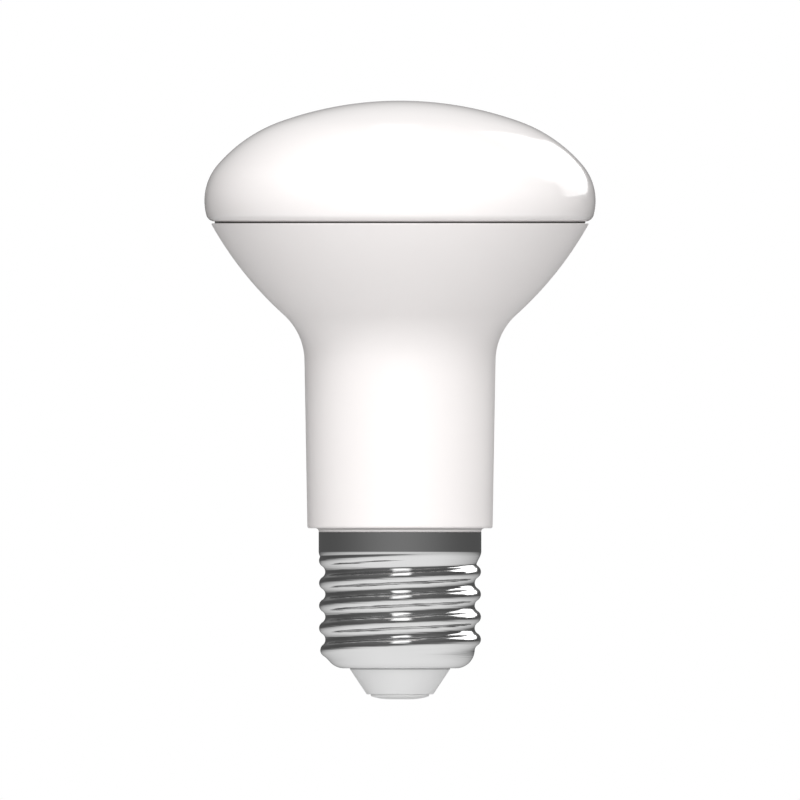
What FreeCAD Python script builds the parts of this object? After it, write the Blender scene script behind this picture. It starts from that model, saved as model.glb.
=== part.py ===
"""LED reflector bulb with an E27 screw cap, in millimetres.

The origin is the middle of the centre contact's tip, and +Z runs up the axis to the top of the cover.
From the top down: an opal cover moulded as a shell, a white housing that flares from a neck to a rim,
a screw cap rolled from thin sheet, the insulator that plugs the cap, and the centre contact pressed into it.
The bulb is sealed and opaque, so what works inside it isn't modelled.
"""

import FreeCAD
import Part
import math
import os

from FreeCAD import Vector

# Heights, each measured up from the piece or edge below it
BOSS_HEIGHT = 5.0
SHELL_HEIGHT = 22.0
FOOT_FILLET = 0.55
HOUSING_HEIGHT = 49.1
SEAM_GAP = 0.3
COVER_SIDE_HEIGHT = 3.35
CROWN_HEIGHT = 16.1

# Opal cover: crown, shoulder and side are tangent arcs, with their ends given as turns from the axis
REFLECTOR_DIAMETER = 63.0
CROWN_TURN = 19.6
SHOULDER_TURN = 49.3
SIDE_RADIUS = 8.9
COVER_WALL = 1.5
COVER_EDGE_RADIUS = 1.4
LIP_WIDTH = 1.2
LIP_CLEARANCE = 0.1
LIP_END_CLEARANCE = 0.1

# White housing: a bowl arc from the rim, a fillet, and a tapered neck
RIM_SETBACK = 1.05
RIM_LEAN = 29.0
RIM_WALL = 1.3
RECESS_DEPTH = 2.0
BOWL_RADIUS = 57.0
FLARE_FILLET = 10.0
NECK_FOOT_RADIUS = 14.91
NECK_DRAFT = 1.0
NECK_EDGE_RADIUS = 0.35
SPIGOT_LENGTH = 14.0
SPIGOT_CLEARANCE = 0.15
SPIGOT_CHAMFER = 0.6

# Screw cap shell with the E27 knuckle thread, whose crests and roots are arcs that meet halfway up the flank
SHEET = 0.3
SKIRT_RADIUS = 13.1
SKIRT_LENGTH = 3.25
FOOT_OVERHANG = 0.02
CREST_RADIUS = 13.03
THREAD_DEPTH = 1.0
THREAD_PITCH = 3.629
FIRST_CREST_HEIGHT = 4.65
LAST_CREST_HEIGHT = 1.05
THREAD_RUN_OUT = 2.2
FLARE_STEP = 0.05
FLARE_SLOPE = 0.12
FLARE_BEND = 0.22
FLARE_BEND_LENGTH = 0.92
FLARE_BLEND = 0.1
FLARE_BLEND_LENGTH = 2.0
BOTTOM_ROUND = 3.0

# Insulator, from its tip to the plug that sits on the shell's floor
BOSS_TIP_RADIUS = 5.35
BOSS_TIP_ROUND = 0.3
BOSS_TOP_RADIUS = 8.05
BOSS_LAND = 0.15
BOSS_CLEARANCE = 0.05
PLUG_HEIGHT = 2.5
PLUG_CLEARANCE = 0.15

# Centre contact: a domed head and a stem that stands proud of the plug
CONTACT_RADIUS = 4.7
CONTACT_EDGE = 0.3
CONTACT_EDGE_ROUND = 0.25
CONTACT_DOME = 0.5
CONTACT_FLAT_RADIUS = 1.6
STEM_RADIUS = 1.25
STEM_PROUD = 0.7
STEM_CHAMFER = 0.4

# Sections that shape the thread
ROWS_PER_PITCH = 8
INNER_ROWS_PER_PITCH = 6
ROWS_OF_ROUND = 6
POINTS_ROUND = 24

FLOOR_Z = BOSS_HEIGHT
SHELL_TOP_Z = FLOOR_Z + SHELL_HEIGHT
FOOT_Z = SHELL_TOP_Z + FOOT_FILLET
RIM_Z = FOOT_Z + HOUSING_HEIGHT
COVER_EDGE_Z = RIM_Z + SEAM_GAP
WIDEST_Z = COVER_EDGE_Z + COVER_SIDE_HEIGHT
TOP_Z = WIDEST_Z + CROWN_HEIGHT
DECK_Z = RIM_Z - RECESS_DEPTH
LIP_END_Z = DECK_Z + LIP_END_CLEARANCE
THREAD_TOP_Z = SHELL_TOP_Z - SKIRT_LENGTH
ROUND_TOP_Z = FLOOR_Z + BOTTOM_ROUND
ROOT_RADIUS = CREST_RADIUS - THREAD_DEPTH
FLOOR_RADIUS = ROOT_RADIUS - BOTTOM_ROUND
PLUG_TOP_Z = FLOOR_Z + SHEET + PLUG_HEIGHT
BOSS_TIP_Z = CONTACT_DOME + CONTACT_EDGE


class Outline:
    """A closed half section in the XZ plane, drawn edge by edge as (radius, height) and spun on the axis."""

    def __init__(self, r, z):
        self.first = self.here = (r, z)
        self.edges = []

    def line_to(self, r, z):
        self.edges.append(Part.LineSegment(Vector(self.here[0], 0, self.here[1]), Vector(r, 0, z)).toShape())
        self.here = (r, z)

    def arc_to(self, centre, radius, start, end):
        """An arc between two turns about its centre, counted from straight up towards the outside."""
        points = [on_circle(centre, radius, turn) for turn in (start, (start + end) / 2, end)]
        self.edges.append(Part.Arc(*(Vector(r, 0, z) for r, z in points)).toShape())
        self.here = points[-1]

    def spin(self):
        self.line_to(*self.first)
        return Part.Face(Part.Wire(self.edges)).revolve(Vector(0, 0, 0), Vector(0, 0, 1), 360)


def on_circle(centre, radius, turn):
    turn = math.radians(turn)
    return centre[0] + radius * math.sin(turn), centre[1] + radius * math.cos(turn)


def turn_towards(centre, point):
    return math.degrees(math.atan2(point[0] - centre[0], point[1] - centre[1]))


def crown_and_shoulder_radii():
    """The two upper radii with which the three tangent arcs start on the axis and end upright."""
    s1, c1 = math.sin(math.radians(CROWN_TURN)), math.cos(math.radians(CROWN_TURN))
    s2, c2 = math.sin(math.radians(SHOULDER_TURN)), math.cos(math.radians(SHOULDER_TURN))
    reach = REFLECTOR_DIAMETER / 2 - SIDE_RADIUS * (1 - s2)
    rise = CROWN_HEIGHT - SIDE_RADIUS * c2
    share = s1 * (c1 - c2) - (s2 - s1) * (1 - c1)
    crown = (reach * (c1 - c2) - rise * (s2 - s1)) / share
    shoulder = (rise * s1 - reach * (1 - c1)) / share
    return crown, shoulder


CROWN_RADIUS, SHOULDER_RADIUS = crown_and_shoulder_radii()
CROWN_CENTRE = (0, TOP_Z - CROWN_RADIUS)
SHOULDER_CENTRE = on_circle(CROWN_CENTRE, CROWN_RADIUS - SHOULDER_RADIUS, CROWN_TURN)
SIDE_CENTRE = (REFLECTOR_DIAMETER / 2 - SIDE_RADIUS, WIDEST_Z)

RIM_RADIUS = REFLECTOR_DIAMETER / 2 - RIM_SETBACK
BOWL_CENTRE = on_circle((RIM_RADIUS, RIM_Z), BOWL_RADIUS, RIM_LEAN - 90)


def bowl_radius_at(z):
    return BOWL_CENTRE[0] + math.sqrt(BOWL_RADIUS**2 - (z - BOWL_CENTRE[1]) ** 2)


RECESS_RADIUS = bowl_radius_at(DECK_Z) - RIM_WALL
LIP_RADIUS = RECESS_RADIUS - LIP_CLEARANCE


def diffuser():
    """The opal cover: an even wall, a flange with a bead that rests on the rim, and a lip inside the rim."""
    reach = SIDE_RADIUS - COVER_EDGE_RADIUS
    drop = COVER_SIDE_HEIGHT - COVER_EDGE_RADIUS
    edge = (SIDE_CENTRE[0] + math.sqrt(reach**2 - drop**2), WIDEST_Z - drop)
    edge_turn = turn_towards(SIDE_CENTRE, edge)
    inner_side = SIDE_RADIUS - COVER_WALL
    flange_z = COVER_EDGE_Z + COVER_WALL
    flange_turn = math.degrees(math.acos((flange_z - WIDEST_Z) / inner_side))

    cover = Outline(0, TOP_Z)
    cover.arc_to(CROWN_CENTRE, CROWN_RADIUS, 0, CROWN_TURN)
    cover.arc_to(SHOULDER_CENTRE, SHOULDER_RADIUS, CROWN_TURN, SHOULDER_TURN)
    cover.arc_to(SIDE_CENTRE, SIDE_RADIUS, SHOULDER_TURN, edge_turn)
    cover.arc_to(edge, COVER_EDGE_RADIUS, edge_turn, 180)
    cover.line_to(edge[0], RIM_Z)
    cover.line_to(LIP_RADIUS, RIM_Z)
    cover.line_to(LIP_RADIUS, LIP_END_Z)
    cover.line_to(LIP_RADIUS - LIP_WIDTH, LIP_END_Z)
    cover.line_to(LIP_RADIUS - LIP_WIDTH, flange_z)
    cover.line_to(*on_circle(SIDE_CENTRE, inner_side, flange_turn))
    cover.arc_to(SIDE_CENTRE, inner_side, flange_turn, SHOULDER_TURN)
    cover.arc_to(SHOULDER_CENTRE, SHOULDER_RADIUS - COVER_WALL, SHOULDER_TURN, CROWN_TURN)
    cover.arc_to(CROWN_CENTRE, CROWN_RADIUS - COVER_WALL, CROWN_TURN, 0)
    return cover.spin()


def housing():
    """The white body: rim, bowl, fillet and neck outside, a recess for the cover's lip, a spigot below."""
    lean = math.radians(NECK_DRAFT)
    along = (math.sin(lean), math.cos(lean))
    foot = (NECK_FOOT_RADIUS + FLARE_FILLET / math.cos(lean), FOOT_Z)
    offset = (foot[0] - BOWL_CENTRE[0], foot[1] - BOWL_CENTRE[1])
    nearest = offset[0] * along[0] + offset[1] * along[1]
    reach = (BOWL_RADIUS + FLARE_FILLET) ** 2 - offset[0] ** 2 - offset[1] ** 2
    climb = -nearest - math.sqrt(nearest**2 + reach)
    fillet = (foot[0] + climb * along[0], foot[1] + climb * along[1])
    bowl_end = turn_towards(BOWL_CENTRE, fillet)
    edge = (
        NECK_FOOT_RADIUS + NECK_EDGE_RADIUS * (math.tan(lean) - 1 / math.cos(lean)),
        FOOT_Z + NECK_EDGE_RADIUS,
    )
    shoulder = SKIRT_RADIUS - FOOT_OVERHANG
    spigot = ROOT_RADIUS - SHEET - SPIGOT_CLEARANCE
    spigot_end = SHELL_TOP_Z - SPIGOT_LENGTH

    body = Outline(0, DECK_Z)
    body.line_to(RECESS_RADIUS, DECK_Z)
    body.line_to(RECESS_RADIUS, RIM_Z)
    body.line_to(RIM_RADIUS, RIM_Z)
    body.arc_to(BOWL_CENTRE, BOWL_RADIUS, 90 + RIM_LEAN, bowl_end)
    body.arc_to(fillet, FLARE_FILLET, bowl_end + 180, 270 + NECK_DRAFT)
    body.line_to(*on_circle(edge, NECK_EDGE_RADIUS, 90 + NECK_DRAFT))
    body.arc_to(edge, NECK_EDGE_RADIUS, 90 + NECK_DRAFT, 180)
    body.line_to(shoulder + FOOT_FILLET, FOOT_Z)
    body.arc_to((shoulder + FOOT_FILLET, SHELL_TOP_Z), FOOT_FILLET, 0, -90)
    body.line_to(spigot, SHELL_TOP_Z)
    body.line_to(spigot, spigot_end + SPIGOT_CHAMFER)
    body.line_to(spigot - SPIGOT_CHAMFER, spigot_end)
    body.line_to(0, spigot_end)
    return body.spin()


def part_of(value):
    return min(1, max(0, value))


def nearest_crest(z, turns):
    """Height of the thread's crest that is nearest to z, so many turns round from +X."""
    first = FLOOR_Z + FIRST_CREST_HEIGHT + THREAD_PITCH * turns
    return first + THREAD_PITCH * round((z - first) / THREAD_PITCH)


def knuckle_drop(offset, inset):
    """How far the thread lies below its crest, at an offset from the crest along the axis.

    Crests and roots are arcs of one radius that meet halfway up the flank. The sheet's inner side, at an
    inset, runs parallel to the outer one: its crests are tighter and its roots wider by the inset, about the
    same centres.
    """
    offset = abs(offset)
    quarter = THREAD_PITCH / 4
    flank = 2 * math.atan(THREAD_DEPTH / 2 / quarter)
    knuckle = quarter / math.sin(flank)
    if offset <= quarter - inset * math.sin(flank):
        return knuckle - inset - math.sqrt((knuckle - inset) ** 2 - offset**2)
    return THREAD_DEPTH - knuckle - inset + math.sqrt((knuckle + inset) ** 2 - (2 * quarter - offset) ** 2)


def thread_section(z, inset, curl):
    """A closed section of the rolled wall. The thread climbs with the angle, as a right-handed one does.

    A flare from the skirt fills its grooves at the top: it starts nearly upright, bends in, runs on straight
    and blends into the thread. The ridge fades along its last turn below.
    """
    drop = THREAD_TOP_Z - z
    bent = min(drop, FLARE_BEND_LENGTH)
    flare = CREST_RADIUS + FLARE_STEP - FLARE_SLOPE * drop - FLARE_BEND * bent * (2 * drop - bent)
    blend = FLARE_BLEND * min(drop, FLARE_BLEND_LENGTH)
    points = []
    for step in range(POINTS_ROUND):
        angle = 2 * math.pi * step / POINTS_ROUND
        crest_z = nearest_crest(z, step / POINTS_ROUND)
        run_out = part_of((crest_z - FLOOR_Z - LAST_CREST_HEIGHT) / THREAD_RUN_OUT)
        ridge = run_out * (THREAD_DEPTH - knuckle_drop(z - crest_z, inset))
        thread = ROOT_RADIUS - curl + ridge
        r = (thread + flare + math.hypot(thread - flare, blend)) / 2 - inset
        points.append(Vector(r * math.cos(angle), r * math.sin(angle), z))
    section = Part.BSplineCurve()
    section.interpolate(Points=points, PeriodicFlag=True)
    return Part.Wire([section.toShape()])


def rolled(inset, rows_per_pitch):
    """The solid inside one side of the rolled sheet, from the floor's rounding to the top of the thread."""
    bend = BOTTOM_ROUND - inset
    sections = []
    for row in range(ROWS_OF_ROUND):
        turn = math.pi / 2 * (1 - row / ROWS_OF_ROUND)
        z = ROUND_TOP_Z - bend * math.sin(turn)
        sections.append(thread_section(z, inset, bend * (1 - math.cos(turn))))
    height = THREAD_TOP_Z - ROUND_TOP_Z
    rows = math.ceil(height / THREAD_PITCH * rows_per_pitch)
    for row in range(rows + 1):
        sections.append(thread_section(ROUND_TOP_Z + height * row / rows, inset, 0))
    return Part.makeLoft(sections, True, True)


def screw_shell():
    """The screw cap, rolled from sheet: a plain skirt, the knuckle thread, and a rounded bottom turned in."""
    skirt = Part.makeCylinder(SKIRT_RADIUS, SKIRT_LENGTH, Vector(0, 0, THREAD_TOP_Z))
    skirt_bore = Part.makeCylinder(SKIRT_RADIUS - SHEET, SKIRT_LENGTH, Vector(0, 0, THREAD_TOP_Z))
    floor_hole = Part.makeCylinder(BOSS_TOP_RADIUS + BOSS_CLEARANCE, BOTTOM_ROUND, Vector(0, 0, FLOOR_Z))
    inside = rolled(SHEET, INNER_ROWS_PER_PITCH).fuse([skirt_bore, floor_hole])
    return rolled(0, ROWS_PER_PITCH).fuse(skirt).cut(inside)


def insulator():
    """The plug in the cap's floor, with the cone that carries the contact below it."""
    flank = math.atan2(BOSS_TOP_RADIUS - BOSS_TIP_RADIUS, BOSS_HEIGHT - BOSS_LAND - BOSS_TIP_Z)
    back = BOSS_TIP_ROUND * math.tan(math.pi / 4 - flank / 2)
    tip = (BOSS_TIP_RADIUS - back, BOSS_TIP_Z + BOSS_TIP_ROUND)

    plug = Outline(STEM_RADIUS, BOSS_TIP_Z)
    plug.line_to(tip[0], BOSS_TIP_Z)
    plug.arc_to(tip, BOSS_TIP_ROUND, 180, 90 + math.degrees(flank))
    plug.line_to(BOSS_TOP_RADIUS, FLOOR_Z - BOSS_LAND)
    plug.line_to(BOSS_TOP_RADIUS, FLOOR_Z + SHEET)
    plug.line_to(FLOOR_RADIUS - PLUG_CLEARANCE, FLOOR_Z + SHEET)
    plug.line_to(FLOOR_RADIUS - PLUG_CLEARANCE, PLUG_TOP_Z)
    plug.line_to(STEM_RADIUS, PLUG_TOP_Z)
    return plug.spin()


def centre_contact():
    """The contact: a flat tip in a dome with a rounded edge, and a stem pressed through the insulator."""
    span = CONTACT_RADIUS - CONTACT_FLAT_RADIUS
    dome = (span**2 + CONTACT_DOME**2) / (2 * CONTACT_DOME)
    dome_centre = (CONTACT_FLAT_RADIUS, dome)
    reach = span - CONTACT_EDGE_ROUND
    edge = (CONTACT_FLAT_RADIUS + reach, dome - math.sqrt((dome - CONTACT_EDGE_ROUND) ** 2 - reach**2))
    edge_turn = turn_towards(dome_centre, edge)
    stem_end = PLUG_TOP_Z + STEM_PROUD

    contact = Outline(0, 0)
    contact.line_to(CONTACT_FLAT_RADIUS, 0)
    contact.arc_to(dome_centre, dome, 180, edge_turn)
    contact.arc_to(edge, CONTACT_EDGE_ROUND, edge_turn, 90)
    contact.line_to(CONTACT_RADIUS, BOSS_TIP_Z)
    contact.line_to(STEM_RADIUS, BOSS_TIP_Z)
    contact.line_to(STEM_RADIUS, stem_end - STEM_CHAMFER)
    contact.line_to(STEM_RADIUS - STEM_CHAMFER, stem_end)
    contact.line_to(0, stem_end)
    return contact.spin()


os.makedirs("parts", exist_ok=True)
for piece in (diffuser, housing, screw_shell, insulator, centre_contact):
    shape = piece()
    shape.exportStep("parts/" + piece.__name__ + ".step")
    print(piece.__name__, "valid", shape.isValid(), "solids", len(shape.Solids))
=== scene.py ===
"""Finish and studio for an LED reflector bulb with an E27 screw cap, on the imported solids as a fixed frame.

Each visible piece is a surface worked out with numpy. Four are a profile of straight and round runs carried
round the axis. The screw cap is its thread's own formula on a grid of heights and angles. Lengths are in
millimetres, and become metres where a mesh is made.
"""

import math

import bpy
import numpy as np
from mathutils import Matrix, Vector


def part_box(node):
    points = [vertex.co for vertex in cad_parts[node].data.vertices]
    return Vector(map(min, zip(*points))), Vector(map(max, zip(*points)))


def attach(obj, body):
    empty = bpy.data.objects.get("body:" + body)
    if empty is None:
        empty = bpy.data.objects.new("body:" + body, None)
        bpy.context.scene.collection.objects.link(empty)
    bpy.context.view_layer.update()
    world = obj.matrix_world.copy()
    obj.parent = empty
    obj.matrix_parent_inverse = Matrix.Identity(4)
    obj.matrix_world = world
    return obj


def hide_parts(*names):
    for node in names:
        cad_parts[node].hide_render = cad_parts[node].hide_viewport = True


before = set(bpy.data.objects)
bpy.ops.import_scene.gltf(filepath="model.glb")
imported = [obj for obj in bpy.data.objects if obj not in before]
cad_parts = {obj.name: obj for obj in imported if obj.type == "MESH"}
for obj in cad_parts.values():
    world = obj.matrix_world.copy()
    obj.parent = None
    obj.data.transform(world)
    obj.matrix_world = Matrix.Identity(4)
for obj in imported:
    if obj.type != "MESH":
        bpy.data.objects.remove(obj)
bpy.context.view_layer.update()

MM = 0.001


def levels(node):
    """Lowest height, highest height and outer radius of a CAD node."""
    low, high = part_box(node)
    return low.z / MM, high.z / MM, high.x / MM


LIP_END_Z, TOP_Z, COVER_RADIUS = levels("diffuser")
SPIGOT_Z, RIM_Z, RIM_RADIUS = levels("housing")
FLOOR_Z, SHELL_TOP_Z, SKIRT_RADIUS = levels("screw_shell")
BOSS_TIP_Z, PLUG_TOP_Z, PLUG_RADIUS = levels("insulator")
TIP_Z, STEM_TOP_Z, CONTACT_RADIUS = levels("centre_contact")

# Opal cover
SEAM_GAP = 0.3
COVER_SIDE_HEIGHT = 3.35
CROWN_TURN = 19.6
SHOULDER_TURN = 49.3
SIDE_RADIUS = 8.9
COVER_WALL = 1.5
COVER_EDGE_RADIUS = 1.4
LIP_WIDTH = 1.2
LIP_CLEARANCE = 0.1
LIP_END_CLEARANCE = 0.1
DECK_Z = LIP_END_Z - LIP_END_CLEARANCE
COVER_EDGE_Z = RIM_Z + SEAM_GAP
WIDEST_Z = COVER_EDGE_Z + COVER_SIDE_HEIGHT

# White housing
RIM_LEAN = 29.0
RIM_WALL = 1.3
RIM_EDGE = 0.12
RIM_SUPPORT = 3 * RIM_EDGE
BOWL_RADIUS = 57.0
FLARE_FILLET = 10.0
FOOT_FILLET = 0.55
FOOT_OVERHANG = 0.02
NECK_FOOT_RADIUS = 14.91
NECK_DRAFT = 1.0
NECK_EDGE_RADIUS = 0.35
SPIGOT_CLEARANCE = 0.15
SPIGOT_CHAMFER = 0.6
FOOT_Z = SHELL_TOP_Z + FOOT_FILLET

# Screw cap
SHEET = 0.3
SKIRT_LENGTH = 3.25
SKIRT_EDGE = 0.05
CREST_RADIUS = 13.03
THREAD_DEPTH = 1.0
THREAD_PITCH = 3.629
FIRST_CREST_HEIGHT = 4.65
LAST_CREST_HEIGHT = 1.05
THREAD_RUN_OUT = 2.2
FLARE_SLOPE = 0.12
FLARE_BEND = 0.22
FLARE_BEND_LENGTH = 0.92
FLARE_BLEND = 0.1
FLARE_BLEND_LENGTH = 2.0
BOTTOM_ROUND = 3.0
THREAD_TOP_Z = SHELL_TOP_Z - SKIRT_LENGTH
ROUND_TOP_Z = FLOOR_Z + BOTTOM_ROUND
ROOT_RADIUS = CREST_RADIUS - THREAD_DEPTH

# Insulator and centre contact
BOSS_TIP_RADIUS = 5.35
BOSS_TIP_ROUND = 0.3
BOSS_TOP_RADIUS = 8.05
BOSS_LAND = 0.15
BOSS_CLEARANCE = 0.05
CONTACT_DOME = 0.5
CONTACT_FLAT_RADIUS = 1.6
CONTACT_EDGE_ROUND = 0.25
STEM_RADIUS = 1.25
STEM_CHAMFER = 0.4
SMALL_ROUND = 0.05

# Painted shade in the corners of joints, a darker base colour where shade falls: lowest and highest height,
# and colour
COVER_PAINTED_SHADE = (RIM_Z, COVER_EDGE_Z, (0.1, 0.095, 0.092))
FOOT_PAINTED_SHADE = (FOOT_Z - 0.3, FOOT_Z + 0.04, (0.5, 0.48, 0.475))
BOSS_PAINTED_SHADE = (FLOOR_Z - BOSS_LAND - 0.12, FLOOR_Z + 0.1, (0.5, 0.5, 0.5))

# Share of a painted shade band's height over which each of its sides fades
PAINTED_SHADE_SOFTNESS = 0.15

PLASTIC_IOR = 1.5

# Grain, clouds and roll marks: noise scales per metre, heights in metres, and the marks' fade in millimetres
GRAIN_SCALE = 3200.0
GRAIN_HEIGHT = 0.00002
CLOUD_SCALE = 45.0
PLATING_CLOUD_SCALE = 160.0
MARK_SCALE = (90.0, 90.0, 3200.0)
MARK_DETAIL = 3.0
MARK_HEIGHT = 0.00008
MARK_FADE = 1.5

# How much the grain or marks, and the clouds, change the roughness
FINE_IN_GLOSS = 0.05
CLOUD_IN_GLOSS = 0.04

# Fineness of the surfaces
COLUMNS = 288
ARC_STEP = 5.0
ARC_LENGTH = 0.7
FEWEST_STEPS = 4
CORNER_POINTS = 7
SUPPORT = 0.04
SUPPORT_SHARE = 0.3
ROWS_PER_PITCH = 36
INNER_ROWS_PER_PITCH = 8
ROUND_ROWS = 20
ON_AXIS = 1e-6
SAME_POINT = 1e-5

# Picture: its side, its scale and the height of its middle line on the bulb
PICTURE_PIXELS = 800
PIXELS_PER_MM = 6.21
MIDDLE_Z = 48.2


def straight(start, end):
    """A straight run: start + t (end - start), with a point close to each end so that it shades flat."""
    start, end = np.array(start, float), np.array(end, float)
    near = min(SUPPORT / np.hypot(*(end - start)), SUPPORT_SHARE)
    return start + np.array([[0], [near], [1 - near], [1]]) * (end - start)


def on_circle(centre, radius, turn):
    """The point at a turn, counted from straight up towards the outside."""
    turn = math.radians(turn)
    return centre[0] + radius * math.sin(turn), centre[1] + radius * math.cos(turn)


def round_run(centre, radius, start, end):
    """An arc: centre + radius (sin turn, cos turn), for turns from start to end in even steps."""
    steps = abs(end - start) * max(1 / ARC_STEP, math.radians(radius) / ARC_LENGTH)
    turn = np.radians(np.linspace(start, end, max(FEWEST_STEPS, math.ceil(steps)) + 1))
    return np.stack([centre[0] + radius * np.sin(turn), centre[1] + radius * np.cos(turn)], 1)


def rounded(*corners):
    """Straight runs through (r, z, radius) corners, each inner one an arc tangent to both of its runs.

    The arc's points are middle + (sin((1 - s) w) a + sin(s w) b) / sin w, where a and b lead from its middle
    to its two ends, w is the angle between them and s goes from 0 to 1.
    """
    points = [np.array(c[:2], float) for c in corners]
    runs, here = [], points[0]
    for before, corner, after, size in zip(points, points[1:], points[2:], [c[2] for c in corners[1:-1]]):
        u, v = before - corner, after - corner
        u, v = u / np.hypot(*u), v / np.hypot(*v)
        half = math.acos(np.clip(u @ v, -1, 1)) / 2
        middle = corner + (u + v) / np.hypot(*(u + v)) * size / math.sin(half)
        first, last = corner + u * size / math.tan(half), corner + v * size / math.tan(half)
        w = math.pi - 2 * half
        s = np.linspace(0, 1, CORNER_POINTS)[:, None]
        bend = np.sin((1 - s) * w) * (first - middle) + np.sin(s * w) * (last - middle)
        runs.append(straight(here, first))
        runs.append(middle + bend / math.sin(w))
        here = last
    runs.append(straight(here, points[-1]))
    return np.concatenate(runs)


def skin(name, grid, looped):
    """A mesh on a grid of points in millimetres. Columns meet round the axis, and rows do where looped.

    A row on the axis becomes one point. Faces go row, next row, next row's next column, next column, so they
    point outwards on a profile that runs down the outside.
    """
    rows, columns = grid.shape[:2]
    poles = np.hypot(grid[:, 0, 0], grid[:, 0, 1]) < ON_AXIS
    sizes = np.where(poles, 1, columns)
    starts = np.concatenate([[0], np.cumsum(sizes)[:-1]])
    index = starts[:, None] + np.where(poles[:, None], 0, np.arange(columns)[None, :])
    keep = ~poles[:, None] | (np.arange(columns)[None, :] == 0)
    here, below = (index, np.roll(index, -1, 0)) if looped else (index[:-1], index[1:])
    quads = np.stack([here, below, np.roll(below, -1, 1), np.roll(here, -1, 1)], 2).reshape(-1, 4)
    top_fan = quads[:, 0] == quads[:, 3]
    end_fan = quads[:, 1] == quads[:, 2]
    faces = quads[~top_fan & ~end_fan].tolist()
    faces += quads[top_fan][:, :3].tolist() + quads[end_fan][:, [0, 1, 3]].tolist()
    mesh = bpy.data.meshes.new(name)
    mesh.from_pydata((grid[keep] * MM).tolist(), [], faces)
    mesh.shade_smooth()
    piece = bpy.data.objects.new(name, mesh)
    bpy.context.scene.collection.objects.link(piece)
    return piece


def lathe(name, *runs):
    """A profile of (r, z) points carried round the axis: (r cos a, r sin a, z).

    One that starts off the axis closes on itself.
    """
    profile = np.concatenate(runs)
    apart = np.hypot(*np.diff(profile, axis=0).T) > SAME_POINT
    profile = profile[np.concatenate([[True], apart])]
    looped = profile[0, 0] > 0
    if looped:
        profile = profile[:-1]
    angle = 2 * np.pi * np.arange(COLUMNS) / COLUMNS
    r, z = profile[:, :1], profile[:, 1:]
    return skin(name, np.stack([r * np.cos(angle), r * np.sin(angle), z + 0 * angle], 2), looped)


def crown_and_shoulder_radii():
    """The two upper radii that let three tangent arcs start on the axis and end upright at the widest."""
    s1, c1 = math.sin(math.radians(CROWN_TURN)), math.cos(math.radians(CROWN_TURN))
    s2, c2 = math.sin(math.radians(SHOULDER_TURN)), math.cos(math.radians(SHOULDER_TURN))
    reach = COVER_RADIUS - SIDE_RADIUS * (1 - s2)
    rise = TOP_Z - WIDEST_Z - SIDE_RADIUS * c2
    share = s1 * (c1 - c2) - (s2 - s1) * (1 - c1)
    crown = (reach * (c1 - c2) - rise * (s2 - s1)) / share
    shoulder = (rise * s1 - reach * (1 - c1)) / share
    return crown, shoulder


BOWL_CENTRE = on_circle((RIM_RADIUS, RIM_Z), BOWL_RADIUS, RIM_LEAN - 90)


def bowl_point(z):
    """The bowl's outline at a height."""
    return BOWL_CENTRE[0] + math.sqrt(BOWL_RADIUS**2 - (z - BOWL_CENTRE[1]) ** 2), z


RECESS_RADIUS = bowl_point(DECK_Z)[0] - RIM_WALL
LIP_RADIUS = RECESS_RADIUS - LIP_CLEARANCE


def opal_cover():
    """The domed cover, a shell: crown, shoulder and side arcs, round edge, bead on the rim, and lip."""
    crown, shoulder = crown_and_shoulder_radii()
    crown_centre = (0, TOP_Z - crown)
    shoulder_centre = on_circle(crown_centre, crown - shoulder, CROWN_TURN)
    side_centre = (COVER_RADIUS - SIDE_RADIUS, WIDEST_Z)
    reach = SIDE_RADIUS - COVER_EDGE_RADIUS
    rise = COVER_EDGE_Z + COVER_EDGE_RADIUS - WIDEST_Z
    edge = (side_centre[0] + math.sqrt(reach**2 - rise**2), WIDEST_Z + rise)
    edge_turn = math.degrees(math.atan2(edge[0] - side_centre[0], rise))
    inner_side = SIDE_RADIUS - COVER_WALL
    flange_z = COVER_EDGE_Z + COVER_WALL
    flange_turn = math.degrees(math.acos((flange_z - WIDEST_Z) / inner_side))
    lip_inner = LIP_RADIUS - LIP_WIDTH
    return lathe(
        "opal_cover",
        round_run(crown_centre, crown, 0, CROWN_TURN),
        round_run(shoulder_centre, shoulder, CROWN_TURN, SHOULDER_TURN),
        round_run(side_centre, SIDE_RADIUS, SHOULDER_TURN, edge_turn),
        round_run(edge, COVER_EDGE_RADIUS, edge_turn, 180),
        rounded(
            (edge[0], COVER_EDGE_Z),
            (edge[0], RIM_Z, SMALL_ROUND),
            (LIP_RADIUS, RIM_Z, SMALL_ROUND),
            (LIP_RADIUS, LIP_END_Z, SMALL_ROUND),
            (lip_inner, LIP_END_Z, SMALL_ROUND),
            (lip_inner, flange_z, SMALL_ROUND),
            on_circle(side_centre, inner_side, flange_turn),
        ),
        round_run(side_centre, inner_side, flange_turn, SHOULDER_TURN),
        round_run(shoulder_centre, shoulder - COVER_WALL, SHOULDER_TURN, CROWN_TURN),
        round_run(crown_centre, crown - COVER_WALL, CROWN_TURN, 0),
    )


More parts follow.
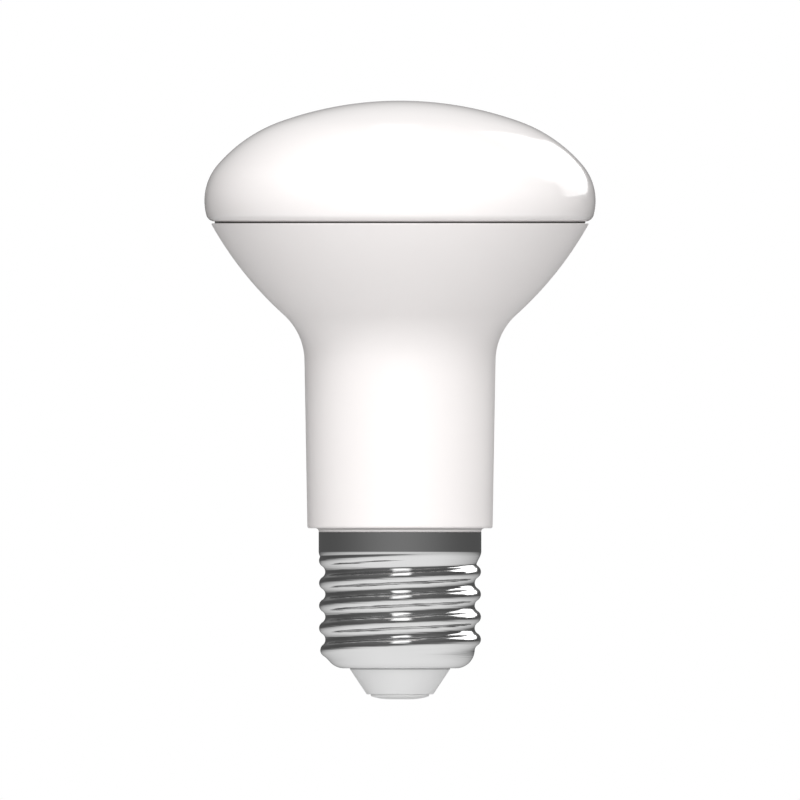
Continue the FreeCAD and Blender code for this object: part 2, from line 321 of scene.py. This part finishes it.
def housing_body():
    """The white body: rim, bowl, fillet, tapered neck, small fillet on the cap, and spigot in the cap."""
    lean = math.radians(NECK_DRAFT)
    along = (math.sin(lean), math.cos(lean))
    foot = (NECK_FOOT_RADIUS + FLARE_FILLET / math.cos(lean), FOOT_Z)
    offset = (foot[0] - BOWL_CENTRE[0], foot[1] - BOWL_CENTRE[1])
    nearest = offset[0] * along[0] + offset[1] * along[1]
    reach = (BOWL_RADIUS + FLARE_FILLET) ** 2 - offset[0] ** 2 - offset[1] ** 2
    climb = -nearest - math.sqrt(nearest**2 + reach)
    fillet = (foot[0] + climb * along[0], foot[1] + climb * along[1])
    bowl_end = math.degrees(math.atan2(fillet[0] - BOWL_CENTRE[0], fillet[1] - BOWL_CENTRE[1]))
    below_rim = bowl_point(RIM_Z - RIM_SUPPORT)
    below_turn = math.degrees(math.atan2(below_rim[0] - BOWL_CENTRE[0], below_rim[1] - BOWL_CENTRE[1]))
    neck_foot = (NECK_FOOT_RADIUS, FOOT_Z)
    neck_top = on_circle(fillet, FLARE_FILLET, 270 + NECK_DRAFT)
    shoulder = SKIRT_RADIUS - FOOT_OVERHANG
    spigot = ROOT_RADIUS - SHEET - SPIGOT_CLEARANCE
    return lathe(
        "housing_body",
        rounded(
            (0, DECK_Z),
            (RECESS_RADIUS, DECK_Z, SMALL_ROUND),
            (RECESS_RADIUS, RIM_Z, SMALL_ROUND),
            (RIM_RADIUS, RIM_Z, RIM_EDGE),
            below_rim,
        ),
        round_run(BOWL_CENTRE, BOWL_RADIUS, below_turn, bowl_end),
        round_run(fillet, FLARE_FILLET, bowl_end + 180, 270 + NECK_DRAFT),
        rounded(neck_top, (*neck_foot, NECK_EDGE_RADIUS), (shoulder + FOOT_FILLET, FOOT_Z)),
        round_run((shoulder + FOOT_FILLET, SHELL_TOP_Z), FOOT_FILLET, 0, -90),
        rounded(
            (shoulder, SHELL_TOP_Z),
            (spigot, SHELL_TOP_Z, SMALL_ROUND),
            (spigot, SPIGOT_Z + SPIGOT_CHAMFER, SMALL_ROUND),
            (spigot - SPIGOT_CHAMFER, SPIGOT_Z, SMALL_ROUND),
            (0, SPIGOT_Z),
        ),
    )


def thread_side(z, curl, inset, angle):
    """Radius of one side of the rolled sheet, at heights z (a column) and angles (a row).

    (thread + flare + hypot(thread - flare, blend)) / 2 - inset, the larger of the two with a soft corner. The
    thread is root - curl + run_out (depth - drop), where drop is how far the knuckle profile lies below its
    crest: arcs about the crest and the root that meet halfway up the flank. The crest climbs a pitch a turn.
    At h below the skirt the flare is skirt - slope h - bend b (2 h - b), where b is h, and the bend's length
    at most.
    """
    quarter = THREAD_PITCH / 4
    flank = 2 * math.atan(THREAD_DEPTH / 2 / quarter)
    knuckle = quarter / math.sin(flank)
    first = FLOOR_Z + FIRST_CREST_HEIGHT + THREAD_PITCH * angle / (2 * np.pi)
    crest = first + THREAD_PITCH * np.round((z - first) / THREAD_PITCH)
    offset = np.abs(z - crest)
    high = knuckle - inset - np.sqrt(np.maximum((knuckle - inset) ** 2 - offset**2, 0))
    low = THREAD_DEPTH - knuckle - inset
    low = low + np.sqrt(np.maximum((knuckle + inset) ** 2 - (2 * quarter - offset) ** 2, 0))
    drop = np.where(offset <= quarter - inset * math.sin(flank), high, low)
    run_out = np.clip((crest - FLOOR_Z - LAST_CREST_HEIGHT) / THREAD_RUN_OUT, 0, 1)
    thread = ROOT_RADIUS - curl + run_out * (THREAD_DEPTH - drop)
    below = THREAD_TOP_Z - z
    bent = np.minimum(below, FLARE_BEND_LENGTH)
    flare = SKIRT_RADIUS - FLARE_SLOPE * below - FLARE_BEND * bent * (2 * below - bent)
    blend = FLARE_BLEND * np.minimum(below, FLARE_BLEND_LENGTH)
    return (thread + flare + np.hypot(thread - flare, blend)) / 2 - inset


def rolled_side(inset, rows_per_pitch, angle):
    """Heights and radii of one side, from the top of the thread down and round to the floor."""
    rows = math.ceil((THREAD_TOP_Z - ROUND_TOP_Z) / THREAD_PITCH * rows_per_pitch)
    turn = np.linspace(0, np.pi / 2, ROUND_ROWS + 1)[1:]
    bend = BOTTOM_ROUND - inset
    z = np.concatenate([np.linspace(THREAD_TOP_Z, ROUND_TOP_Z, rows + 1), ROUND_TOP_Z - bend * np.sin(turn)])
    curl = np.concatenate([np.zeros(rows + 1), bend * (1 - np.cos(turn))])
    return z[:, None] + 0 * angle, thread_side(z[:, None], curl[:, None], inset, angle)


def screw_cap():
    """The rolled shell: skirt, knuckle thread and rounded floor outside, and the same sheet's inner side."""
    angle = (2 * np.pi * np.arange(COLUMNS) / COLUMNS)[None, :]
    hole = BOSS_TOP_RADIUS + BOSS_CLEARANCE
    bore = SKIRT_RADIUS - SHEET
    mouth = (SKIRT_RADIUS - SHEET / 2, SHELL_TOP_Z)
    skirt = rounded(mouth, (SKIRT_RADIUS, SHELL_TOP_Z, SKIRT_EDGE), (SKIRT_RADIUS, THREAD_TOP_Z))
    floor = rounded(
        (ROOT_RADIUS - BOTTOM_ROUND, FLOOR_Z),
        (hole, FLOOR_Z, SMALL_ROUND),
        (hole, FLOOR_Z + SHEET, SMALL_ROUND),
        (ROOT_RADIUS - BOTTOM_ROUND, FLOOR_Z + SHEET),
    )
    inside = rounded((bore, THREAD_TOP_Z), (bore, SHELL_TOP_Z, SMALL_ROUND), mouth)
    outer = rolled_side(0, ROWS_PER_PITCH, angle)
    inner = [side[:0:-1] for side in rolled_side(SHEET, INNER_ROWS_PER_PITCH, angle)]
    skirt, floor, inside = (
        (run[:, 1:] + 0 * angle, run[:, :1] + 0 * angle) for run in (skirt[:-1], floor[1:-1], inside[:-1])
    )
    z, r = (np.concatenate(side) for side in zip(skirt, outer, floor, inner, inside))
    return skin("screw_cap", np.stack([r * np.cos(angle), r * np.sin(angle), z], 2), True)


def insulator_plug():
    """The insulator: a cone with a rounded tip and a short upright land, and the plug on the cap's floor."""
    return lathe(
        "insulator_plug",
        rounded(
            (STEM_RADIUS, PLUG_TOP_Z),
            (PLUG_RADIUS, PLUG_TOP_Z, SMALL_ROUND),
            (PLUG_RADIUS, FLOOR_Z + SHEET, SMALL_ROUND),
            (BOSS_TOP_RADIUS, FLOOR_Z + SHEET, SMALL_ROUND),
            (BOSS_TOP_RADIUS, FLOOR_Z - BOSS_LAND, SMALL_ROUND),
            (BOSS_TIP_RADIUS, BOSS_TIP_Z, BOSS_TIP_ROUND),
            (STEM_RADIUS, BOSS_TIP_Z, SMALL_ROUND),
            (STEM_RADIUS, PLUG_TOP_Z),
        ),
    )


def contact_button():
    """The centre contact: flat tip in a shallow dome, rounded edge, and stem through the insulator."""
    span = CONTACT_RADIUS - CONTACT_FLAT_RADIUS
    dome = (span**2 + CONTACT_DOME**2) / (2 * CONTACT_DOME)
    dome_centre = (CONTACT_FLAT_RADIUS, TIP_Z + dome)
    reach = span - CONTACT_EDGE_ROUND
    rise = math.sqrt((dome - CONTACT_EDGE_ROUND) ** 2 - reach**2)
    edge = (CONTACT_FLAT_RADIUS + reach, TIP_Z + dome - rise)
    edge_turn = 180 - math.degrees(math.atan2(reach, dome_centre[1] - edge[1]))
    return lathe(
        "contact_button",
        rounded(
            (0, STEM_TOP_Z),
            (STEM_RADIUS - STEM_CHAMFER, STEM_TOP_Z, SMALL_ROUND),
            (STEM_RADIUS, STEM_TOP_Z - STEM_CHAMFER, SMALL_ROUND),
            (STEM_RADIUS, BOSS_TIP_Z, SMALL_ROUND),
            (CONTACT_RADIUS, BOSS_TIP_Z, SMALL_ROUND),
            (CONTACT_RADIUS, edge[1]),
        ),
        round_run(edge, CONTACT_EDGE_ROUND, 90, edge_turn),
        round_run(dome_centre, dome, edge_turn, 180),
        straight((CONTACT_FLAT_RADIUS, TIP_Z), (0, TIP_Z)),
    )


class Number:
    """A shader number. An expression on it adds its Math nodes, so that masks read as plain arithmetic."""

    def __init__(self, finish, socket):
        self.finish, self.socket = finish, socket

    def __add__(self, other):
        return self.finish.maths("ADD", self, other)

    def __sub__(self, other):
        return self.finish.maths("SUBTRACT", self, other)

    def __rsub__(self, other):
        return self.finish.maths("SUBTRACT", other, self)

    def __mul__(self, other):
        return self.finish.maths("MULTIPLY", self, other)

    def __truediv__(self, other):
        return self.finish.maths("DIVIDE", self, other)

    def __rtruediv__(self, other):
        return self.finish.maths("DIVIDE", other, self)

    __radd__, __rmul__ = __add__, __mul__


class Finish:
    """A node tree under construction, for a material or the world."""

    def __init__(self, owner):
        owner.use_nodes = True
        self.tree = owner.node_tree
        self.tree.nodes.clear()

    def add(self, kind, settings=None, inputs=None, output=0):
        """Adds a node: its settings, then the values or links of its sockets. Gives one of its outputs."""
        node = self.tree.nodes.new("ShaderNode" + kind)
        for name, value in (settings or {}).items():
            setattr(node, name, value)
        for name, value in (inputs or {}).items():
            if isinstance(value, Number):
                self.tree.links.new(value.socket, node.inputs[name])
            else:
                node.inputs[name].default_value = value
        return Number(self, node.outputs[output]) if len(node.outputs) else None

    def maths(self, operation, *values):
        return self.add("Math", {"operation": operation}, dict(enumerate(values)))

    def blend(self, share, first, second):
        """A colour that goes from the first to the second with the share."""
        first, second = (c if isinstance(c, Number) else (*c, 1) for c in (first, second))
        return self.add("Mix", {"data_type": "RGBA"}, {"Factor": share, 6: first, 7: second}, 2)

    def noise(self, place, scale, detail=2.0):
        return self.add("TexNoise", None, {"Vector": place, "Scale": scale, "Detail": detail})

    def ramp(self, value, start, end):
        """0 up to start, 1 from end on, and smooth between."""
        settings = {"interpolation_type": "SMOOTHSTEP"}
        return self.add("MapRange", settings, {"Value": value, "From Min": start, "From Max": end})

    def out(self, shader, kind="OutputMaterial"):
        self.add(kind, None, {"Surface": shader})


def parts_of(finish, place):
    """The three parts of a place, as numbers."""
    apart = finish.tree.nodes.new("ShaderNodeSeparateXYZ")
    finish.tree.links.new(place.socket, apart.inputs[0])
    return [Number(finish, socket) for socket in apart.outputs]


def moulded(name, colour, shade, roughness, grain, painted_shade):
    """Moulded plastic: a faint cloud in its colour, and a fine grain in its gloss and its surface.

    Between two heights it has a darker colour: painted shade, for the shade in the corner of a joint.
    """
    material = bpy.data.materials.new(name)
    finish = Finish(material)
    place = finish.add("TexCoord", output="Object")
    cloud = finish.noise(place, CLOUD_SCALE)
    # Painted shade: a darker band of base colour between two heights, in place of the shade in the joint's
    # corner
    low, high, painted_shade_colour = painted_shade
    soft = PAINTED_SHADE_SOFTNESS * (high - low)
    z = parts_of(finish, place)[2] / MM
    painted_shade_mask = finish.ramp(z, low, low + soft) * finish.ramp(z, high, high - soft)
    fine = finish.noise(place, GRAIN_SCALE)
    bump = finish.add("Bump", None, {"Strength": grain, "Distance": GRAIN_HEIGHT, "Height": fine})
    finish.out(
        finish.add(
            "BsdfPrincipled",
            None,
            {
                "Base Color": finish.blend(painted_shade_mask, finish.blend(cloud, colour, shade), painted_shade_colour),
                "Roughness": roughness + FINE_IN_GLOSS * (fine - 0.5) + CLOUD_IN_GLOSS * (cloud - 0.5),
                "IOR": PLASTIC_IOR,
                "Normal": bump,
            },
        )
    )
    return material


def plated(name, colour, shade, metal, roughness, marks, marks_top):
    """Plating: roll marks drawn out round the axis below a height, and slightly darker, duller clouds."""
    material = bpy.data.materials.new(name)
    finish = Finish(material)
    place = finish.add("TexCoord", output="Object")
    drawn = finish.add("VectorMath", {"operation": "MULTIPLY"}, {0: place, 1: MARK_SCALE})
    lines = finish.noise(drawn, 1.0, MARK_DETAIL)
    cloud = finish.noise(place, PLATING_CLOUD_SCALE)
    rolled = finish.ramp(parts_of(finish, place)[2] / MM, marks_top, marks_top - MARK_FADE)
    bump = finish.add("Bump", None, {"Strength": marks, "Distance": MARK_HEIGHT, "Height": lines * rolled})
    finish.out(
        finish.add(
            "BsdfPrincipled",
            None,
            {
                "Base Color": finish.blend(cloud, colour, shade),
                "Metallic": metal,
                "Roughness": roughness + FINE_IN_GLOSS * (lines - 0.5) + CLOUD_IN_GLOSS * (cloud - 0.5),
                "Normal": bump,
            },
        )
    )
    return material


def ray_kinds(finish):
    """Two switches, each 1 or 0: seen by the camera, also through glass, and seen in a mirror."""
    path = finish.tree.nodes.new("ShaderNodeLightPath")
    kinds = ("Is Camera Ray", "Is Glossy Ray", "Is Transmission Ray")
    seen, glossy, through = (Number(finish, path.outputs[kind]) for kind in kinds)
    return finish.maths("MAXIMUM", seen, through), glossy


# Light levels, where 1 is white
AMBIENT = 0.36
FLOOR_GREY = 0.6
FLOOR_LIFT = 0.6
MIRRORED_FLOOR = 0.88
MIRRORED_FLOOR_RATE = 2.6
MIRRORED_FLOOR_GROWTH = 1.4
HORIZON_BACK = 0.086
HORIZON_FRONT = 0.109
VALLEY_BACK = 0.011
VALLEY_FRONT = 0.054
TENT_TOP = 0.05
GLOW_LEVEL = 0.5
STRIP_LEVEL = 1.2
SOFTBOX_LEVEL = 2.2

# Places in the studio, in metres, and directions as degrees from the camera's side and above the horizon
FLOOR_DROP = 0.14
FLOOR_SIZE = 6.0
TENT_RADIUS = 0.5
TENT_FOOT = -6.0
TENT_COLUMNS = 96
TENT_ROWS = 32
LAMP_DISTANCE = 1.5
CAMERA_DISTANCE = 0.8

# Soft edges on the tent: where each starts and where it is done, as degrees of elevation. The strip's are its
# half width, as a share of the tent's radius, and its two ends, as degrees overhead from the camera's side.
VALLEY_EDGE = (2, 12)
TENT_TOP_EDGE = (20, 60)
STRIP_MIDDLE = -0.01
STRIP_EDGE = (0.235, 0.215)
STRIP_START = (27, 42)
STRIP_END = (128, 120)

# Softbox, in degrees: its near and far side, slanted lower edge, foot and top, and how far either side of its
# upper part leans forward
SOFTBOX_NEAR_SIDE = (109.5, 114.5)
SOFTBOX_FAR_SIDE = (165.5, 163)
SOFTBOX_SLANT = 0.43
SOFTBOX_SLANT_EDGE = (-48.6, -47.2)
SOFTBOX_FOOT = (12.6, 14.2)
SOFTBOX_TOP = (58, 47)
SOFTBOX_LEAN = (25, 38)
SOFTBOX_NEAR_LEAN = 9
SOFTBOX_FAR_LEAN = 6

# Glow behind the bulb: its middle's elevation, how narrow it is, and where it comes up from the horizon
GLOW_ELEVATION = 35.0
GLOW_NARROWNESS = 10.0
GLOW_EDGE = (2, 42)

# Lamps: azimuth, elevation, size in metres, and the level that each gives a white surface that faces it
LAMPS = {
    "front_key": (0, 6, 1.0, 0.57),
    "high_key": (0, 50, 0.5, 0.4),
    "high_left": (-55, 52, 0.6, 0.12),
    "high_right": (60, 52, 0.6, 0.12),
    "side_fill": (132, 0, 1.0, 0.2),
    "back_fill": (190, 0, 1.0, 0.3),
}


def mirrored_ground(finish, y, depth):
    """Level of the ground in mirrors: dark at the horizon, white well below, sooner in front than behind.

    base + (white - base) (1 - exp(-rate depth)), where y and depth are a direction's parts away from the
    camera and downwards. Both base and rate grow with front, which goes from 0 behind to 1 in front.
    """
    front = 0.5 - 0.5 * y
    base = HORIZON_BACK + HORIZON_FRONT * front * front * front
    rate = MIRRORED_FLOOR_RATE * (1 + MIRRORED_FLOOR_GROWTH * front * front)
    share = 1 - finish.maths("POWER", math.e, 0 - rate * depth)
    return base + (MIRRORED_FLOOR - base) * share


def studio_floor():
    """A plain pale floor, well below the hanging bulb."""
    half = FLOOR_SIZE / 2
    mesh = bpy.data.meshes.new("studio_floor")
    corners = [(x, y, -FLOOR_DROP) for x, y in ((-half, -half), (half, -half), (half, half), (-half, half))]
    mesh.from_pydata(corners, [], [(0, 1, 2, 3)])
    material = bpy.data.materials.new("pale_floor")
    finish = Finish(material)
    matt = finish.add("BsdfDiffuse", None, {"Color": (FLOOR_GREY, FLOOR_GREY, FLOOR_GREY, 1)})
    place = finish.add("TexCoord", output="Object")
    distance = finish.add("VectorMath", {"operation": "LENGTH"}, {0: place}, 1)
    ground = mirrored_ground(finish, parts_of(finish, place)[1] / distance, FLOOR_DROP / distance)
    seen, mirrored = ray_kinds(finish)
    white = finish.add("Emission", None, {"Color": (1, 1, 1, 1), "Strength": 1 - mirrored * (1 - ground)})
    lift = FLOOR_LIFT * seen + mirrored
    finish.out(finish.add("MixShader", None, {0: lift, 1: matt, 2: white}))
    mesh.materials.append(material)
    floor = bpy.data.objects.new("studio_floor", mesh)
    bpy.context.scene.collection.objects.link(floor)


def studio_tent():
    """A dark tent that only reflections see, with a strip lamp above the camera and a softbox on the right.

    Its points are radius (cos e sin a, -cos e cos a, sin e), for a all round and e from just below the
    horizon up.
    """
    a = np.radians(np.linspace(-180, 180, TENT_COLUMNS + 1))[None, :]
    e = np.radians(np.linspace(TENT_FOOT, 90, TENT_ROWS + 1))[:, None]
    grid = TENT_RADIUS * np.stack([np.cos(e) * np.sin(a), -np.cos(e) * np.cos(a), np.sin(e) + 0 * a], 2)
    rows, columns = grid.shape[:2]
    index = np.arange(rows * columns).reshape(rows, columns)
    faces = np.stack([index[:-1, :-1], index[:-1, 1:], index[1:, 1:], index[1:, :-1]], 2).reshape(-1, 4)
    mesh = bpy.data.meshes.new("studio_tent")
    mesh.from_pydata(grid.reshape(-1, 3).tolist(), [], faces.tolist())
    material = bpy.data.materials.new("tent_cloth")
    finish = Finish(material)
    place = finish.add("TexCoord", output="Object")
    x, y, z = (part / TENT_RADIUS for part in parts_of(finish, place))
    degrees = 180 / math.pi
    azimuth = degrees * finish.maths("ARCTAN2", x, 0 - y)
    elevation = degrees * finish.maths("ARCSINE", z)
    overhead = degrees * finish.maths("ARCTAN2", z, 0 - y)
    front = 0.5 - 0.5 * y
    across = finish.maths("ABSOLUTE", x - STRIP_MIDDLE)
    strip = finish.ramp(across, *(edge * front for edge in STRIP_EDGE))
    strip = strip * finish.ramp(overhead, *STRIP_START) * finish.ramp(overhead, *STRIP_END)
    lean = finish.ramp(elevation, *SOFTBOX_LEAN)
    softbox = finish.ramp(azimuth + SOFTBOX_NEAR_LEAN * lean, *SOFTBOX_NEAR_SIDE)
    softbox = softbox * finish.ramp(azimuth + SOFTBOX_FAR_LEAN * lean, *SOFTBOX_FAR_SIDE)
    softbox = softbox * finish.ramp(elevation - SOFTBOX_SLANT * azimuth, *SOFTBOX_SLANT_EDGE)
    softbox = softbox * finish.ramp(elevation, *SOFTBOX_FOOT) * finish.ramp(elevation, *SOFTBOX_TOP)
    tilt = math.radians(GLOW_ELEVATION)
    behind = finish.maths("MAXIMUM", math.cos(tilt) * y + math.sin(tilt) * z, 0.0)
    glow = finish.maths("POWER", behind, GLOW_NARROWNESS) * finish.ramp(elevation, *GLOW_EDGE)
    valley = (VALLEY_BACK + VALLEY_FRONT * front * front * front) * finish.ramp(elevation, *VALLEY_EDGE)
    level = mirrored_ground(finish, y, finish.maths("MAXIMUM", 0 - z, 0.0)) - valley
    level = level + TENT_TOP * finish.ramp(elevation, *TENT_TOP_EDGE)
    level = level + GLOW_LEVEL * glow + STRIP_LEVEL * strip + SOFTBOX_LEVEL * softbox
    finish.out(finish.add("Emission", None, {"Color": (1, 1, 1, 1), "Strength": level}))
    mesh.materials.append(material)
    tent = bpy.data.objects.new("studio_tent", mesh)
    bpy.context.scene.collection.objects.link(tent)
    for ray in ("camera", "diffuse", "transmission", "volume_scatter", "shadow"):
        setattr(tent, "visible_" + ray, False)


def lamp(name, azimuth, elevation, size, level):
    """A square soft lamp aimed at the bulb, which gives a white surface that faces it the level.

    No mirror sees it.
    """
    a, e = math.radians(azimuth), math.radians(elevation)
    light = bpy.data.lights.new(name, "AREA")
    light.shape, light.size = "SQUARE", size
    light.energy = level * (math.pi * LAMP_DISTANCE) ** 2
    holder = bpy.data.objects.new(name, light)
    away = np.array([math.sin(a) * math.cos(e), -math.cos(a) * math.cos(e), math.sin(e)])
    holder.location = away * LAMP_DISTANCE + [0, 0, MIDDLE_Z * MM]
    holder.rotation_euler = (math.pi / 2 - e, 0, a)
    holder.visible_glossy = False
    bpy.context.scene.collection.objects.link(holder)


def studio_world():
    """White where it is seen, and a softer even light on the bulb."""
    world = bpy.data.worlds.new("studio")
    bpy.context.scene.world = world
    finish = Finish(world)
    seen, mirrored = ray_kinds(finish)
    strength = AMBIENT + (1 - AMBIENT) * finish.maths("MAXIMUM", seen, mirrored)
    finish.out(finish.add("Background", None, {"Color": (1, 1, 1, 1), "Strength": strength}), "OutputWorld")


def camera():
    """Square on to the bulb, without perspective, at the picture's scale."""
    lens = bpy.data.cameras.new("camera")
    lens.type = "ORTHO"
    lens.ortho_scale = PICTURE_PIXELS / PIXELS_PER_MM * MM
    holder = bpy.data.objects.new("camera", lens)
    holder.location = (0, -CAMERA_DISTANCE, MIDDLE_Z * MM)
    holder.rotation_euler = (math.pi / 2, 0, 0)
    bpy.context.scene.collection.objects.link(holder)
    bpy.context.scene.camera = holder


# Each plastic's last argument is its band of painted shade at a joint
opal = moulded(
    "opal_cover",
    colour=(0.93, 0.897, 0.888),
    shade=(0.92, 0.886, 0.877),
    roughness=0.11,
    grain=0.05,
    painted_shade=COVER_PAINTED_SHADE,
)
white = moulded(
    "white_plastic",
    colour=(0.905, 0.871, 0.862),
    shade=(0.893, 0.859, 0.85),
    roughness=0.34,
    grain=0.12,
    painted_shade=FOOT_PAINTED_SHADE,
)
grey = moulded(
    "grey_insulator",
    colour=(0.86, 0.86, 0.86),
    shade=(0.845, 0.845, 0.845),
    roughness=0.34,
    grain=0.15,
    painted_shade=BOSS_PAINTED_SHADE,
)
sheet_plating = plated(
    "plated_sheet",
    colour=(0.86, 0.86, 0.86),
    shade=(0.82, 0.82, 0.82),
    metal=1.0,
    roughness=0.09,
    marks=0.7,
    marks_top=THREAD_TOP_Z,
)
contact_plating = plated(
    "plated_contact",
    colour=(0.87, 0.87, 0.865),
    shade=(0.84, 0.84, 0.835),
    metal=0.2,
    roughness=0.45,
    marks=0.05,
    marks_top=BOSS_TIP_Z,
)

for piece, node, material, slot in (
    (opal_cover(), "diffuser", opal, "opal_cover"),
    (housing_body(), "housing", white, "white_plastic"),
    (screw_cap(), "screw_shell", sheet_plating, "plated_sheet"),
    (insulator_plug(), "insulator", grey, "grey_insulator"),
    (contact_button(), "centre_contact", contact_plating, "plated_contact"),
):
    piece.data.materials.append(material)
    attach(piece, "root")
    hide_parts(node)

studio_floor()
studio_tent()
for name, values in LAMPS.items():
    lamp(name, *values)
studio_world()
camera()
bpy.context.scene.view_settings.view_transform = "Standard"
